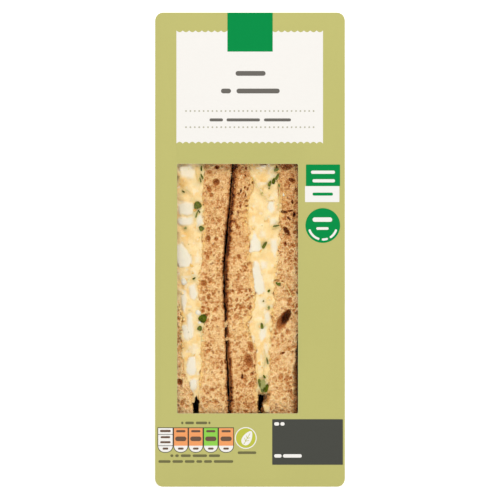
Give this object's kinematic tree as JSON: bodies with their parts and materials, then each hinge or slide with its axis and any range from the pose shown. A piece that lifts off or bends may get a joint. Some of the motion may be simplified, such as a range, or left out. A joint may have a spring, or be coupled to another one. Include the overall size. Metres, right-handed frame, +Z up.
{
  "type": "packed egg and cress sandwich",
  "caption": "Egg and cress sandwich on malted bread, cut into two halves that stand side by side behind the clear window of a wedge-shaped card pack.",
  "frame": {"origin": "middle of the pack's bounding box in X and Y, on the surface that the pack stands on", "axes": "+Z up, +X to the right across the front panel; the panel leans back at 45 degrees and faces -Y and up, and the wedge's square edge is at the back of the foot"},
  "size_m": [0.076, 0.135, 0.1342],
  "materials": {
    "card": "coated card, satin, olive green print",
    "window_film": "clear thin film, glossy",
    "bread": "malted bread crumb and crust, matt and porous",
    "filling": "egg mayonnaise with chopped egg white and cress, soft moist sheen"
  },
  "bodies": {
    "root": {"carton": "card", "window_film": "window_film", "left_outer_slice": "bread", "left_filling": "filling", "left_inner_slice": "bread", "right_inner_slice": "bread", "right_filling": "filling", "right_outer_slice": "bread"}
  },
  "joints": []
}
